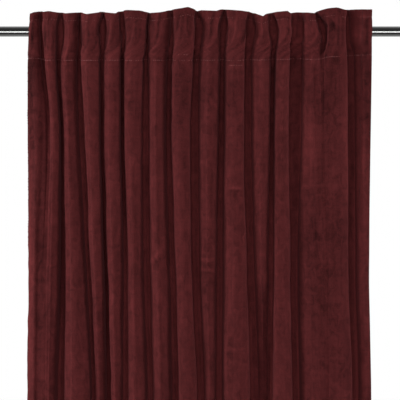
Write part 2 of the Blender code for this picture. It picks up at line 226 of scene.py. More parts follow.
class Level:
    """What the tables say at one height."""

    def __init__(self, down):
        self.back = at_depth(VALLEY_BACK, down)
        self.left, self.right = at_depth(LEFT_EDGE, down), at_depth(RIGHT_EDGE, down)
        self.middles = [at_depth(valley.x, down) for valley in VALLEYS]
        self.half_slots = [(at_depth(valley.slot, down) + CLOTH_THICKNESS) / 2 for valley in VALLEYS]
        self.shares = [at_depth(valley.depth, down) for valley in VALLEYS]
        self.forward = [at_depth(values, down) for values in FORWARD]
        self.edge_shoulder = at_depth(EDGE_SHOULDER, down)
        low = smoothstep((down - SOFT_LOW_FROM) / (SOFT_LOW_TO - SOFT_LOW_FROM))
        self.soft = [[high + low * (lower - high) for high, lower in zip(valley.soft_high, valley.soft_low)]
                     for valley in VALLEYS]

    def section(self, fold_depth):
        """The cloth's middle surface here, left edge to right edge: an array of (x, y)."""
        points = []
        for number, forward in enumerate(self.forward):
            first, last = number == 0, number == len(self.forward) - 1
            front = self.back - fold_depth - forward
            starts = self.left if first else self.middles[number - 1] + self.half_slots[number - 1]
            ends = self.right if last else self.middles[number] - self.half_slots[number]
            share = CREST_AT_EDGE if first or last else self.crest_share((starts + ends) / 2)
            crest = starts + (ends - starts) * share
            bulge = (LAST_BULGE if last else BULGE) * (ends - starts)
            shape = (fold_depth, front, crest, bulge)
            if first:
                wall = EDGE_WALL * fold_depth
                soft = min(self.edge_shoulder, WIDEST_SHOULDER * (crest - starts))
                profile = half_fold(0, crest - self.left, wall, soft, bulge, EDGE_PLACES)
                points += [(self.left + x, front + wall - y) for x, y in profile]
            else:
                points += self.from_valley(number - 1, 1, *shape)
            points.append((crest, front - bulge))
            if last:
                for share in LAST_FACE_SHARES:
                    points.append((crest + share * (self.right - crest), front - bulge * (1 - share)))
                points.append((self.right, front + EDGE_CURL))
            else:
                points += self.from_valley(number, -1, *shape)[:0:-1]
        return np.array(points)

    def crest_share(self, x):
        """How far across a fold its crest lies: nearer its left side at the left of the curtain."""
        share = (x - self.left) / (self.right - self.left)
        return CREST_AT_LEFT + share * (CREST_AT_RIGHT - CREST_AT_LEFT)

    def from_valley(self, number, sign, fold_depth, front, crest, bulge):
        """The half fold on one side of a valley, from the valley to the crest."""
        shallow = 1 - self.shares[number]
        floor = self.back - shallow * fold_depth
        reach = abs(crest - self.middles[number])
        widest = WIDEST_SHOULDER * (reach - self.half_slots[number])
        soft = min(self.soft[number][sign > 0] + SHALLOW_SOFT * shallow, widest)
        profile = half_fold(self.half_slots[number], reach, floor - front, soft, bulge, PLACES)
        return [(self.middles[number] + sign * x, floor - y) for x, y in profile]

    def taken_up(self):
        """The section whose length is the cloth's flat width."""
        low, high = DEPTH_GUESSES
        for _ in range(HALVINGS):
            middle = (low + high) / 2
            if along(self.section(middle))[-1] < FLAT_WIDTH:
                low = middle
            else:
                high = middle
        return self.section(low)


def along(points):
    """The distance to each point along a line of points, from its first one."""
    steps = np.linalg.norm(np.diff(points, axis=0), axis=1)
    return np.concatenate([[0], np.cumsum(steps)])


def rows_down():
    """How far each row of the net lies below the top edge."""
    rows = [0.0]
    for start, end, step in ROW_STRETCHES:
        count = math.ceil((end - start) / step)
        rows += [start + (end - start) * number / count for number in range(1, count + 1)]
    return np.array(rows)


def normals_of(net):
    """Unit normals of a net of rows by columns, pointing to the back."""
    across = np.gradient(net, axis=1)
    down = np.gradient(net, axis=0)
    normals = np.cross(across, down)
    return normals / np.linalg.norm(normals, axis=2, keepdims=True)


# Soft creases pressed into the cloth: x, distance down, angle from level, half length, half width and
# height. A ridge is positive and a trough negative.
Crease = namedtuple("Crease", "x down angle half_length half_width height")
CREASES = (
    Crease(68, 345, 4, 12, 2.5, 1.4),
    Crease(66, 360, -10, 8, 2.5, 1.2),
    Crease(68, 352, 0, 10, 2.2, -1.0),
    Crease(14, 486, 0, 14, 2.9, 1.1),
    Crease(14, 497, 4, 14, 2.5, -0.7),
    Crease(13, 504, 2, 13, 2.9, 1.2),
    Crease(-84, 476, -52, 22, 3.6, 1.6),
    Crease(-78, 486, -40, 14, 2.9, -1.0),
    Crease(230, 341, 0, 20, 2.9, 0.9),
    Crease(24, 172, -50, 16, 2.9, 1.2),
    Crease(28, 186, -58, 14, 2.9, 1.0),
    Crease(72, 104, 3, 12, 2.2, 1.2),
    Crease(24, 106, 48, 10, 2.9, 1.1),
    Crease(75, 46, -55, 12, 2.9, 1.3),
    Crease(254, 16, 62, 14, 2.9, 1.4),
    Crease(262, 34, 75, 16, 2.9, -1.0),
    Crease(-212, 140, 10, 5, 2.9, 1.0),
)


def creases(x, v):
    """The height of the creases at each point."""
    height = np.zeros(x.shape)
    for crease in CREASES:
        angle = math.radians(crease.angle)
        dx, dv = x - crease.x, v - crease.down
        lengthwise = dx * math.cos(angle) + dv * math.sin(angle)
        crosswise = dv * math.cos(angle) - dx * math.sin(angle)
        reach = np.exp(-(lengthwise / crease.half_length) ** 4)
        height += crease.height * reach * np.exp(-(crosswise / crease.half_width) ** 2)
    return height


HEADING_MIDDLE, HEADING_REACH = 44, 75


def heading_share(v):
    """1 in the middle of the heading, falling to 0 below it."""
    return smoothstep(1 - np.abs(v - HEADING_MIDDLE) / HEADING_REACH)


# The uneven part of the relief. Gathers and slack also sway from side to side on their way down, by a
# distance and over a length, and ripples run aslant.
GATHER_HEIGHT, GATHER_SWAY = 1.5, (6, 30)
SLACK_HEIGHT, SLACK_SWAY = 0.9, (25, 160)
RIPPLE_HEIGHT, RIPPLE_SLANT = 0.35, 0.6

# The groove that each line of stitches pulls into the pile: distance down, width, depth and seed
GROOVES = ((TAPE_TOP, 4, 0.8, 16), (TAPE_BOTTOM, 4.5, 1.0, 17))
GROOVE_UNEVEN = 0.45


def swayed(u, v, sway):
    distance, length = sway
    return u + distance * np.sin(v / length)


def relief(u, v, x):
    """How far each point stands in front of the plain folds: puckers, gathers, slack and creases."""
    gathers = GATHER_HEIGHT * waves(swayed(u, v, GATHER_SWAY), (15, 21, 34), 11) * heading_share(v)
    slack = SLACK_HEIGHT * waves(swayed(u, v, SLACK_SWAY), (61, 97, 143), 12)
    slack = slack * waves(v, (190, 310, 470), 13)
    ripples = RIPPLE_HEIGHT * waves(v + RIPPLE_SLANT * u, (38, 57, 83), 14) * waves(u, (47, 71), 15)
    height = gathers + slack + ripples + creases(x, v)
    for line, width, depth, seed in GROOVES:
        uneven = 1 + GROOVE_UNEVEN * waves(u, (13, 19, 31), seed)
        height = height - depth * uneven * np.exp(-((v - line) / width) ** 2)
    return height


def make_cloth_net():
    """The cloth as a net of rows by columns: the middle surface with its relief, the normals that it had
    before the relief, and each point's place on the flat cloth, u across and v down."""
    down = rows_down()
    sections = [Level(value).taken_up() for value in down]
    plan = np.array(sections)
    u = np.array([along(points) for points in sections])
    v = np.repeat(down[:, None], u.shape[1], axis=1)
    x = plan[:, :, 0]
    at_edge, at_line = [np.interp(x, *zip(*line)) for line in (TOP_EDGE, STITCH_LINE)]
    towards_line = smoothstep((v - TAPE_TOP) / (TAPE_BOTTOM - TAPE_TOP))
    fronts = plan[:, :, 1].min(axis=1)[:, None]
    lift = at_edge + towards_line * (at_line - at_edge) + LEAN * (plan[:, :, 1] - fronts)
    fade = smoothstep((LIFT_ENDS - v) / (LIFT_ENDS - LIFT_STARTS_TO_FADE))
    net = np.dstack([plan, TOP_ABOVE_ROD - v + lift * fade])
    normals = normals_of(net)
    return net - normals * relief(u, v, x)[..., None], normals, u, v


NET, NORMALS, FLAT_U, FLAT_V = make_cloth_net()


def make_object(name, points, faces, materials, smooth_under=60, face_material=None):
    """An object from points in millimetres, with sharp shading only at edges beyond an angle."""
    mesh = bpy.data.meshes.new(name)
    mesh.from_pydata((np.asarray(points) * METRES).tolist(), [], faces)
    mesh.shade_smooth()
    mesh.set_sharp_from_angle(angle=math.radians(smooth_under))
    for material in materials:
        mesh.materials.append(material)
    if face_material is not None:
        mesh.polygons.foreach_set("material_index", face_material)
    made = bpy.data.objects.new(name, mesh)
    bpy.context.collection.objects.link(made)
    return made


def layered_sheet(name, net, normals, front, back, u, v, materials):
    """A closed sheet between two distances behind a net, the back in the second material."""
    rows, columns = net.shape[:2]
    layer = rows * columns
    index = np.arange(layer).reshape(rows, columns)
    corners = [index[:-1, :-1], index[1:, :-1], index[1:, 1:], index[:-1, 1:]]
    front_faces = np.stack(corners, axis=-1).reshape(-1, 4)
    back_faces = front_faces[:, ::-1] + layer
    rim = np.concatenate([index[0], index[1:, -1], index[-1, -2::-1], index[-2:0:-1, 0]])
    after = np.roll(rim, -1)
    rim_faces = np.stack([rim, after, after + layer, rim + layer], axis=-1)
    faces = np.concatenate([front_faces, back_faces, rim_faces])
    points = np.concatenate([
        (net + normals * np.asarray(front)[..., None]).reshape(-1, 3),
        (net + normals * np.asarray(back)[..., None]).reshape(-1, 3),
    ])
    slots = np.zeros(len(faces), int)
    slots[len(front_faces):len(front_faces) + len(back_faces)] = len(materials) - 1
    made = make_object(name, points, faces.tolist(), materials, face_material=slots)
    add_flat_map(made, np.tile(u.ravel(), 2), np.tile(v.ravel(), 2))
    return made


def add_flat_map(made, u, v):
    """A UV map named flat: each point's place on the flat cloth, in metres."""
    mesh = made.data
    corner = np.empty(len(mesh.loops), int)
    mesh.loops.foreach_get("vertex_index", corner)
    places = np.stack([u[corner], v[corner]], axis=-1) * METRES
    mesh.uv_layers.new(name="flat").uv.foreach_set("vector", places.astype(np.float32).ravel())


# Where the colour is made lighter or darker, partly as rubbed pile and partly as painted light and shade:
# x, distance down, half width, half height and strength
PatchOfPileAndShade = namedtuple("PatchOfPileAndShade", "x down half_width half_height strength")
PILE_AND_SHADE_PATCHES = (
    PatchOfPileAndShade(218, 264, 14, 60, 0.8),
    PatchOfPileAndShade(-322, 194, 20, 120, -0.35),
    PatchOfPileAndShade(-334, 140, 9, 150, -1.0),
    PatchOfPileAndShade(-334, 500, 7, 240, 1.0),
    PatchOfPileAndShade(-286, 164, 5, 90, 0.6),
    PatchOfPileAndShade(-128, 10, 16, 40, -0.45),
    PatchOfPileAndShade(-34, 10, 16, 40, -0.45),
    PatchOfPileAndShade(-36, 170, 12, 110, -0.5),
    PatchOfPileAndShade(325, 40, 14, 90, -0.5),
    PatchOfPileAndShade(328, 170, 14, 130, -0.6),
    PatchOfPileAndShade(320, 290, 5, 60, 1.0),
    PatchOfPileAndShade(309, 400, 6, 380, 0.7),
    PatchOfPileAndShade(284, 244, 7, 120, 0.6),
    PatchOfPileAndShade(255, 150, 24, 110, -0.8),
    PatchOfPileAndShade(255, 514, 45, 190, -0.45),
    PatchOfPileAndShade(-325, 78, 12, 9, 0.4),
    PatchOfPileAndShade(-325, 101, 12, 9, -0.5),
    PatchOfPileAndShade(-283, 130, 6, 55, -0.8),
    PatchOfPileAndShade(-155, 125, 6, 60, -0.4),
    PatchOfPileAndShade(146, 120, 6, 55, -0.6),
    PatchOfPileAndShade(-212, 640, 7, 120, -0.55),
    PatchOfPileAndShade(9, 505, 9, 90, -0.65),
    PatchOfPileAndShade(45, 180, 48, 90, -0.38),
    PatchOfPileAndShade(265, 20, 40, 40, -0.35),
    PatchOfPileAndShade(-215, 45, 14, 25, -0.6),
    PatchOfPileAndShade(-300, 45, 12, 30, -0.7),
    PatchOfPileAndShade(-85, 45, 22, 20, -0.45),
    PatchOfPileAndShade(-44, 130, 12, 40, -0.4),
    PatchOfPileAndShade(-308, 510, 14, 160, -0.5),
    PatchOfPileAndShade(266, 100, 12, 14, -0.3),
    PatchOfPileAndShade(-30, 20, 16, 12, -0.4),
    PatchOfPileAndShade(-90, 16, 14, 10, -0.5),
    PatchOfPileAndShade(160, 14, 8, 14, -0.6),
    PatchOfPileAndShade(323, 14, 12, 4, 0.8),
    PatchOfPileAndShade(307, 50, 9, 16, 0.7),
    PatchOfPileAndShade(-138, 165, 14, 40, -0.45),
    PatchOfPileAndShade(-205, 160, 14, 35, -0.25),
    PatchOfPileAndShade(10, 160, 12, 30, -0.5),
    PatchOfPileAndShade(210, 150, 12, 30, -0.4),
    PatchOfPileAndShade(212, 440, 20, 110, -0.35),
    PatchOfPileAndShade(-322, 388, 8, 60, -0.4),
)
CREASE_PAINTED_LIGHT, GATHER_PAINTED_LIGHT = 0.7, 0.5  # painted light and shade: how much lighter crease ridges are painted (their troughs darker), and how much the gathers' tone swings

# Painted light: how much lighter the cloth is painted deep in the valleys, at every level, and from which
# share of the folds' depth on, over which further share
VALLEY_PAINTED_LIGHT = (0.2, 0.6, 0.6, 0, 0, 0.1, 0.15, 0.15)
DEEP_FROM, DEEP_OVER = 0.3, 0.35

# Painted light: how much lighter the cloth is painted along both feet of a shallow valley, in the corners
# that lie in shade, at every level, and how that is shared out over the points of the net to either side
# of the valley's middle. A valley counts as shallow by what it lacks of the folds' depth, and as gone
# below a share of it.
FOOT_PAINTED_LIGHT = (0, 0, 0, 0.5, 1.1, 1.5, 1.9, 1.8)
FOOT_SHARES = (0.05, 0.9, 1, 0.7, 0.2)
FULLY_SHALLOW = 0.4
GONE, FULLY_THERE = 0.2, 0.4


def painted_light_at_feet(down):
    """How much painted light lies along the feet of the valleys, at each point of the net."""
    pile = np.zeros(NET.shape[:2])
    first = len(EDGE_PLACES) + len(PLACES)  # the column of the first valley's middle
    for row, height in enumerate(down):
        most = at_depth(FOOT_PAINTED_LIGHT, height)
        for number, valley in enumerate(VALLEYS):
            share = at_depth(valley.depth, height)
            strength = most * smoothstep((1 - share) / FULLY_SHALLOW)
            strength *= smoothstep((share - GONE) / (FULLY_THERE - GONE))
            middle = first + number * 2 * len(PLACES)
            for away, weight in enumerate(FOOT_SHARES, start=1):
                pile[row, [middle - away, middle + away]] += weight * strength
    return pile


def add_painted_light_and_pile(made, x, deep, u, v):
    """Painted light and shade with rubbed pile, as an attribute: above 0 where lighter and below 0 where
    darker.
    """
    # painted highlight on crease ridges and painted shade in their troughs, and painted light and shade on
    # the gathers
    painted_light_and_pile = CREASE_PAINTED_LIGHT * creases(x, v) + GATHER_PAINTED_LIGHT * waves(u, (9, 14, 23), 18) * heading_share(v)
    # painted light deep in the valleys
    painted_light_and_pile += np.array([at_depth(VALLEY_PAINTED_LIGHT, down) for down in v[:, 0]])[:, None] * deep
    # painted light along the valleys' feet, where their corners lie in shade
    painted_light_and_pile += painted_light_at_feet(v[:, 0])
    # patches of rubbed pile and of painted light and shade
    for patch in PILE_AND_SHADE_PATCHES:
        away = ((x - patch.x) / patch.half_width) ** 2 + ((v - patch.down) / patch.half_height) ** 2
        painted_light_and_pile += patch.strength * np.exp(-away)
    values = np.tile(painted_light_and_pile.ravel(), 2).astype(np.float32)
    made.data.attributes.new("painted_light_and_pile", "FLOAT", "POINT").data.foreach_set("value", values)


class Finish:
    """A material under construction: its node tree, with short ways to add and link nodes."""

    def __init__(self, name, roughness, metallic=0.0):
        self.material = bpy.data.materials.new(name)
        self.material.use_nodes = True
        self.tree = self.material.node_tree
        self.shader = self.tree.nodes["Principled BSDF"]
        self.set(Roughness=roughness, Metallic=metallic)

    def set(self, **sockets):
        for name, value in sockets.items():
            self.shader.inputs[name.replace("_", " ")].default_value = value

    def node(self, kind, **settings):
        made = self.tree.nodes.new(kind)
        for name, value in settings.items():
            setattr(made, name, value)
        return made

    def feed(self, value, socket):
        if hasattr(value, "links"):
            self.tree.links.new(value, socket)
        else:
            socket.default_value = value

    def flat_place(self, across, down):
        """The place on the flat cloth, in units of these many per metre."""
        flat = self.node("ShaderNodeUVMap", uv_map="flat")
        mapping = self.node("ShaderNodeMapping")
        mapping.inputs["Scale"].default_value = (across, down, 1)
        self.feed(flat.outputs["UV"], mapping.inputs["Vector"])
        return mapping.outputs["Vector"]

    def noise(self, place, detail=2.0, roughness=0.5, distortion=0.0):
        made = self.node("ShaderNodeTexNoise", noise_dimensions="2D")
        self.feed(place, made.inputs["Vector"])
        made.inputs["Scale"].default_value = 1
        made.inputs["Detail"].default_value = detail
        made.inputs["Roughness"].default_value = roughness
        made.inputs["Distortion"].default_value = distortion
        return made.outputs["Fac"]

    def math(self, operation, first, second=0.0, third=0.0):
        made = self.node("ShaderNodeMath", operation=operation)
        for value, socket in zip((first, second, third), made.inputs):
            self.feed(value, socket)
        return made.outputs["Value"]

    def ramp(self, value, low, high, dark, light):
        """A colour that goes from dark at low to light at high."""
        made = self.node("ShaderNodeValToRGB")
        self.feed(value, made.inputs["Fac"])
        made.color_ramp.elements[0].position = low
        made.color_ramp.elements[1].position = high
        made.color_ramp.elements[0].color = (*dark, 1)
        made.color_ramp.elements[1].color = (*light, 1)
        return made.outputs["Color"]

    def bump(self, height, distance, strength=1.0):
        made = self.node("ShaderNodeBump")
        made.inputs["Distance"].default_value = distance * METRES
        made.inputs["Strength"].default_value = strength
        self.feed(height, made.inputs["Height"])
        self.feed(made.outputs["Normal"], self.shader.inputs["Normal"])

    def colour(self, value):
        self.feed(value, self.shader.inputs["Base Color"])


def velvet_front():
    """Crushed pile: patterns of five sizes shift its tone up and down, and an attribute adds painted light
    and shade with rubbed pile.
    """
    finish = Finish("burgundy_velvet", 0.92)
    streaks = finish.noise(finish.flat_place(95, 8), detail=4, roughness=0.62)
    blotches = finish.noise(finish.flat_place(24, 11), detail=3, roughness=0.55, distortion=0.4)
    crushed = finish.noise(finish.flat_place(85, 60), detail=3, roughness=0.6, distortion=0.8)
    marks = finish.noise(finish.flat_place(26, 210), detail=2, roughness=0.5)
    grain = finish.noise(finish.flat_place(420, 330), detail=3, roughness=0.7)
    painted_light_and_pile = finish.node("ShaderNodeAttribute", attribute_name="painted_light_and_pile").outputs["Fac"]
    # the attribute brings painted light and shade on creases, gathers, valleys and their feet, with rubbed
    # pile
    tone = finish.math("MULTIPLY_ADD", painted_light_and_pile, 0.28, 0.5)
    patterns = ((streaks, 0.37), (blotches, 0.28), (crushed, 0.66), (marks, 0.16), (grain, 0.34))
    for pattern, weight in patterns:
        tone = finish.math("MULTIPLY_ADD", pattern, weight, tone)
        tone = finish.math("SUBTRACT", tone, weight / 2)
    finish.colour(finish.ramp(tone, 0.0, 1.0, (0.0074, 0.0009, 0.0010), (0.086, 0.0146, 0.0153)))
    pile = finish.math("MULTIPLY_ADD", grain, 0.7, finish.math("MULTIPLY", streaks, 0.5))
    finish.bump(pile, 0.6, 0.35)
    finish.set(Sheen_Weight=0.07, Sheen_Roughness=0.5, Sheen_Tint=(0.90, 0.24, 0.26, 1),
               Specular_IOR_Level=0.05)
    return finish.material


def velvet_back():
    """The woven ground behind the pile: flatter and duller, with a fine plain weave."""
    finish = Finish("velvet_ground", 0.85)
    across = finish.noise(finish.flat_place(900, 60), detail=2)
    down = finish.noise(finish.flat_place(60, 900), detail=2)
    tone = finish.math("ADD", finish.math("MULTIPLY", across, 0.5), finish.math("MULTIPLY", down, 0.5))
    finish.colour(finish.ramp(tone, 0.35, 0.65, (0.080, 0.019, 0.022), (0.135, 0.040, 0.045)))
    finish.bump(tone, 0.3, 0.5)
    finish.set(Sheen_Weight=0.1, Sheen_Roughness=0.5, Specular_IOR_Level=0.2)
    return finish.material


def woven_tape():
    """Coarse tape: upright ribs crossed by finer rows, a little soiled."""
    finish = Finish("natural_woven_tape", 0.85)
    bands = []
    for direction, scale in (("X", 0.16), ("Y", 0.22)):
        band = finish.node("ShaderNodeTexWave", wave_type="BANDS", bands_direction=direction)
        finish.feed(finish.flat_place(1000, 1000), band.inputs["Vector"])
        band.inputs["Scale"].default_value = scale
        band.inputs["Distortion"].default_value = 0.6
        bands.append(band.outputs["Fac"])
    weave = finish.math("MULTIPLY", *bands)
    soil = finish.noise(finish.flat_place(30, 30), detail=3)
    tone = finish.math("MULTIPLY_ADD", weave, 0.5, finish.math("MULTIPLY", soil, 0.5))
    finish.colour(finish.ramp(tone, 0.2, 0.8, (0.36, 0.32, 0.26), (0.66, 0.61, 0.52)))
    finish.bump(weave, 0.4, 0.6)
    finish.set(Sheen_Weight=0.1, Sheen_Roughness=0.5, Specular_IOR_Level=0.3)
    return finish.material


def sewing_thread(name, dark, light):
    """Matt twisted thread."""
    finish = Finish(name, 0.6)
    place = finish.node("ShaderNodeNewGeometry").outputs["Position"]
    mapping = finish.node("ShaderNodeMapping")
    mapping.inputs["Scale"].default_value = (700, 700, 700)
    finish.feed(place, mapping.inputs["Vector"])
    twist = finish.node("ShaderNodeTexNoise")
    finish.feed(mapping.outputs["Vector"], twist.inputs["Vector"])
    twist.inputs["Scale"].default_value = 1
    finish.colour(finish.ramp(twist.outputs["Fac"], 0.35, 0.65, dark, light))
    finish.bump(twist.outputs["Fac"], 0.15, 0.6)
    finish.set(Sheen_Weight=0.03, Sheen_Roughness=0.5, Specular_IOR_Level=0.12)
    return finish.material


def polished_steel():
    """Bright steel with fine drawing marks along it."""
    finish = Finish("polished_steel", 0.2, metallic=1.0)
    place = finish.node("ShaderNodeTexCoord").outputs["Object"]
    mapping = finish.node("ShaderNodeMapping")
    mapping.inputs["Scale"].default_value = (25, 900, 900)
    finish.feed(place, mapping.inputs["Vector"])
    brushed = finish.node("ShaderNodeTexNoise")
    finish.feed(mapping.outputs["Vector"], brushed.inputs["Vector"])
    brushed.inputs["Scale"].default_value = 1
    brushed.inputs["Detail"].default_value = 3
    finish.colour(finish.ramp(brushed.outputs["Fac"], 0.3, 0.7, (0.52, 0.52, 0.52), (0.62, 0.62, 0.61)))
    roughness = finish.math("MULTIPLY_ADD", brushed.outputs["Fac"], 0.12, 0.1)
    finish.feed(roughness, finish.shader.inputs["Roughness"])
    finish.bump(brushed.outputs["Fac"], 0.02, 0.4)
    return finish.material


VELVET = velvet_front()
GROUND = velvet_back()
TAPE = woven_tape()
LIGHT_THREAD = sewing_thread("heading_thread", (0.085, 0.022, 0.023), (0.21, 0.078, 0.079))
DARK_THREAD = sewing_thread("hem_thread", (0.018, 0.003, 0.004), (0.036, 0.008, 0.009))
TAPE_THREAD = sewing_thread("loop_thread", (0.50, 0.46, 0.39), (0.72, 0.68, 0.60))
STEEL = polished_steel()


def make_cloth():
    edge = np.minimum(FLAT_U, FLAT_U[:, -1:] - FLAT_U)
    side_hem = smoothstep((SIDE_HEM + SIDE_HEM_STEP / 2 - edge) / SIDE_HEM_STEP)
    bottom_hem = smoothstep((BOTTOM_HEM - DROP + FLAT_V + BOTTOM_HEM_STEP / 2) / BOTTOM_HEM_STEP)
    back = CLOTH_THICKNESS / 2 + HEM_EXTRA * np.maximum(side_hem, bottom_hem)
    front = np.full_like(back, -CLOTH_THICKNESS / 2)
    cloth = layered_sheet("velvet_curtain", NET, NORMALS, front, back, FLAT_U, FLAT_V, [VELVET, GROUND])
    y = NET[:, :, 1]
    front_y, back_y = y.min(axis=1)[:, None], y.max(axis=1)[:, None]
    deep = smoothstep(((y - front_y) / (back_y - front_y) - DEEP_FROM) / DEEP_OVER)
    add_painted_light_and_pile(cloth, NET[:, :, 0], deep, FLAT_U, FLAT_V)
    return cloth


TAPE_ROW_WITHIN = 1  # the tape ends at the row nearest to its lower edge, this close to it
TAPE_GAP = 0.1


def make_tape():
    down = FLAT_V[:, 0]
    taped = np.flatnonzero((down >= TAPE_TOP) & (down <= TAPE_BOTTOM + TAPE_ROW_WITHIN))
    taped = slice(taped[0], taped[-1] + 1)
    shape = NET[taped].shape[:2]
    front = np.full(shape, CLOTH_THICKNESS / 2 + TAPE_GAP)
    back = front + TAPE_THICKNESS
    return layered_sheet("woven_heading_tape", NET[taped], NORMALS[taped], front, back, FLAT_U[taped],
                         FLAT_V[taped], [TAPE, TAPE])


def spot(u, v):
    """The point of the front of the cloth, and its outward direction, at places on the flat cloth."""
    rows = FLAT_V[:, 0]
    above = np.clip(np.searchsorted(rows, v, side="right") - 1, 0, len(rows) - 2)
    share = (v - rows[above]) / (rows[above + 1] - rows[above])
    found = []
    for row, weight in ((above, 1 - share), (above + 1, share)):
        value = [np.interp(u, FLAT_U[row], NET[row, :, axis]) for axis in range(3)]
        value += [np.interp(u, FLAT_U[row], -NORMALS[row, :, axis]) for axis in range(3)]
        found.append(np.array(value) * weight)
    total = found[0] + found[1]
    outward = total[3:] / np.linalg.norm(total[3:])
    return total[:3] + outward * CLOTH_THICKNESS / 2, outward


# Stitches: their length in the heading and in the hems, and the gap between them; how far along each
# one its points lie and how high each point stands; and how uneven the stitches are
STITCH, HEM_STITCH, STITCH_GAP = 3.6, 4, 1.2
STITCH_POINTS = ((-1, -0.5), (-0.6, 0.25), (0, 0.45), (0.6, 0.25), (1, -0.5))
STITCH_STRAY = 0.12
STITCH_SHORTEST, STITCH_LONGEST = 0.9, 1.08
STITCH_SUNK = (0, 0.25, 0.5)
LINE_SUNK = 0.3
THREAD_SIDES = 6

# The thread's radius in each seam, and how much deeper the upper one lies in the pile
UPPER_THREAD, LOWER_THREAD, SHORT_ROW_THREAD, HEM_THREAD = 0.26, 0.34, 0.36, 0.3
UPPER_SUNK_BY = 0.12

# Short rows of stitches beside the lower line: from x, to x, distance down
SHORT_ROWS = ((-42, -14, 79), (56, 82, 99))
FRONT_PULL = 0.5  # how much a place counts as farther away for every millimetre that it lies behind


def skin(start, rings, sides):
    """The faces of a closed tube: rings of points that follow each other from a start number."""
    faces = []
    for ring in range(rings - 1):
        for side in range(sides):
            here = start + ring * sides + side
            beside = start + ring * sides + (side + 1) % sides
            faces.append([here, beside, beside + sides, here + sides])
    last = start + (rings - 1) * sides
    faces.append(list(range(start, start + sides))[::-1])
    faces.append(list(range(last, last + sides)))
    return faces


def add_tube(points, faces, path, radius, sideways):
    """Adds a closed tube along a path to the points and faces."""
    path = np.array(path)
    start = len(points)
    forward = np.gradient(path, axis=0)
    forward /= np.linalg.norm(forward, axis=1, keepdims=True)
    sideways = sideways - forward * (forward @ sideways)[:, None]
    sideways /= np.linalg.norm(sideways, axis=1, keepdims=True)
    upward = np.cross(forward, sideways)
    for number in range(len(path)):
        for side in range(THREAD_SIDES):
            angle = 2 * math.pi * side / THREAD_SIDES
            offset = math.cos(angle) * sideways[number] + math.sin(angle) * upward[number]
            points.append(path[number] + radius * offset)
    faces += skin(start, len(path), THREAD_SIDES)


def seam(name, start, end, stitch, radius, material, seed, sunk_by=0.0):
    """A line of stitches between two places (u, v) on the flat cloth, sunk by a distance into the pile."""
    rng = np.random.default_rng(seed)
    start, end = np.array(start, float), np.array(end, float)
    length = np.linalg.norm(end - start)
    direction = (end - start) / length
    count = int(length // (stitch + STITCH_GAP))
    pitch = length / count
    points, faces = [], []
    for number in range(count):
        middle = (number + 0.5) * pitch + rng.normal(0, STITCH_STRAY)
        half = stitch / 2 * rng.uniform(STITCH_SHORTEST, STITCH_LONGEST)
        astray = np.array([-direction[1], direction[0]]) * rng.normal(0, STITCH_STRAY)
        line_sunk = LINE_SUNK * float(waves(middle, (41, 66, 118), seed))
        sunk = sunk_by + rng.choice(STITCH_SUNK) + line_sunk
        path = []
        for share, rise in STITCH_POINTS:
            point, outward = spot(*(start + direction * (middle + share * half) + astray))
            path.append(point + outward * (rise - sunk))
        add_tube(points, faces, path, radius, outward)
    return make_object(name, points, faces, [material])


def across_at(x, down):
    """The place across the flat cloth of the face that shows at x, at a distance down."""
    row = int(np.argmin(np.abs(FLAT_V[:, 0] - down)))
    behind = NET[row, :, 1] - NET[row, :, 1].min()
    return float(FLAT_U[row, np.argmin(np.abs(NET[row, :, 0] - x) + FRONT_PULL * behind)])


def make_seams():
    """The short rows, the two long lines of the heading, and the hems at both sides and the bottom."""
    made = []
    for number, (start, end, down) in enumerate(SHORT_ROWS, start=1):
        ends = [(across_at(x, down), down) for x in (start, end)]
        made.append(seam(f"short_seam_{number}", *ends, STITCH, SHORT_ROW_THREAD, LIGHT_THREAD, 25 + number))
    left, right = 1, FLAT_WIDTH - 1
    made.append(seam("heading_seam_upper", (left, TAPE_TOP), (right, TAPE_TOP), STITCH, UPPER_THREAD,
                     LIGHT_THREAD, 21, UPPER_SUNK_BY))
    made.append(seam("heading_seam_lower", (left, TAPE_BOTTOM), (right, TAPE_BOTTOM), STITCH, LOWER_THREAD,
                     LIGHT_THREAD, 22))
    left, right = SIDE_HEM, FLAT_WIDTH - SIDE_HEM
    top, bottom, hem = 2, DROP - 2, DROP - BOTTOM_HEM
    for name, start, end, seed in (("left_hem_seam", (left, top), (left, bottom), 23),
                                   ("right_hem_seam", (right, top), (right, bottom), 24),
                                   ("bottom_hem_seam", (left, hem), (right, hem), 25)):
        made.append(seam(name, start, end, HEM_STITCH, HEM_THREAD, DARK_THREAD, seed))
    return made


# Hanging loops: straps round the back of the rod, with both ends flat against the tape
LOOP_WIDTH = 10
LOOP_THICKNESS = 1.2
LOOP_FLANGE = 6
LOOP_FLANGE_END = ROD_RADIUS + CLEARANCE + LOOP_THICKNESS + LOOP_FLANGE
LOOP_BEND = 2  # radius of the bend between a flange and the part round the rod
LOOP_ARC_STEPS = 20
SEAT = VALLEY_BACK[ROD_LEVEL] + CLOTH_THICKNESS / 2 + CLEARANCE + TAPE_THICKNESS + CLEARANCE

# The section of a strap, slightly thinner at its two edges, as shares of half its width and thickness
LOOP_OUTLINE = ((-1, 0), (-0.94, 0.7), (-0.8, 1), (0, 1), (0.8, 1), (0.94, 0.7),
                (1, 0), (0.94, -0.7), (0.8, -1), (0, -1), (-0.8, -1), (-0.94, -0.7))

# The bars of thread across the end of a strap: how many, how far the first lies from the strap's end and
# from the next, their half length, their thread, and the points of each as for a stitch
LOOP_BARS = 3
LOOP_BAR_INSET, LOOP_BAR_PITCH = 1.8, 2
LOOP_BAR_HALF = 3.8
LOOP_BAR_THREAD = 0.3
LOOP_BAR_POINTS = ((-1, -0.3), (-0.8, 0.15), (0, 0.25), (0.8, 0.15), (1, -0.3))


